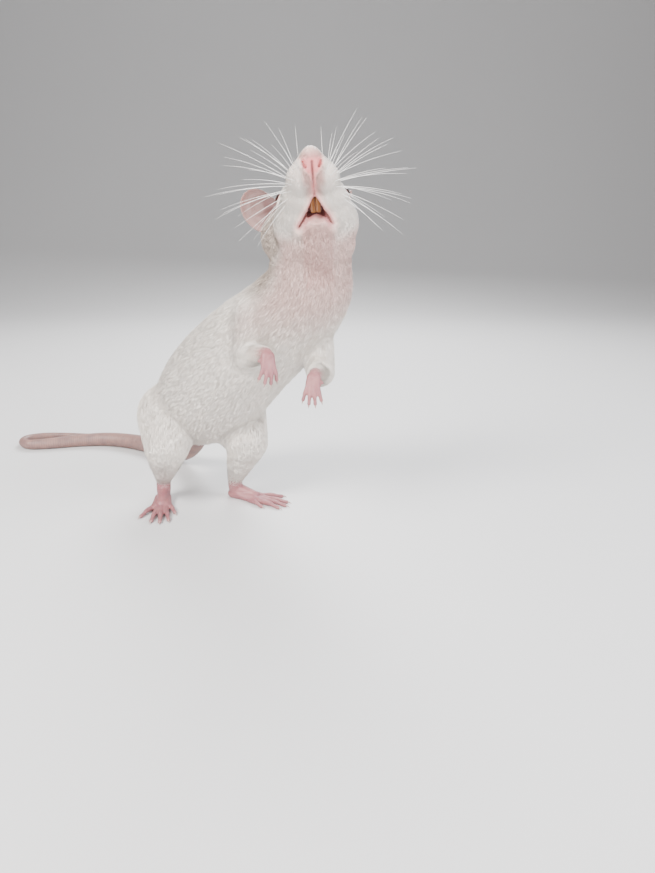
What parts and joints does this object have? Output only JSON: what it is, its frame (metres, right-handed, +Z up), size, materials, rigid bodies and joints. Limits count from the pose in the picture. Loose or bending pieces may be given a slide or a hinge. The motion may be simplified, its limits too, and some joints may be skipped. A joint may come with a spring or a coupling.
{
  "type": "pet rat",
  "caption": "Still, life-size model of a pale young pet rat rearing on its hind feet, nose thrown back and mouth a little open, long tail curled on the floor",
  "frame": {"origin": "on the floor under the middle of the whole model's box", "axes": "+Z up; -Y the side of the picture's camera, which the rat's nose and throat face; +X to the picture's right, the tail lying toward -X"},
  "size_m": [0.1928, 0.1302, 0.1465],
  "materials": {
    "white_fur": "short soft fur, white with a pale grey-tan hood",
    "pink_skin": "bare skin with fine down",
    "tail_skin": "ringed scaly skin",
    "dark_eye": "wet gloss",
    "incisor": "smooth enamel"
  },
  "bodies": {
    "root": {"abdomen": "white_fur", "chest": "white_fur", "neck": "white_fur", "head": "white_fur", "lower_jaw": "white_fur", "ear_left": "pink_skin", "ear_right": "pink_skin", "eye_left": "dark_eye", "eye_right": "dark_eye", "incisor_left": "incisor", "incisor_right": "incisor", "upper_arm_left": "white_fur", "upper_arm_right": "white_fur", "forearm_left": "white_fur", "forearm_right": "white_fur", "forepaw_left": "pink_skin", "forepaw_right": "pink_skin", "thigh_left": "white_fur", "thigh_right": "white_fur", "shank_left": "white_fur", "shank_right": "white_fur", "hind_foot_left": "pink_skin", "hind_foot_right": "pink_skin", "tail_base": "tail_skin", "tail_middle": "tail_skin", "tail_end": "tail_skin", "tail_tip": "tail_skin"}
  },
  "joints": []
}
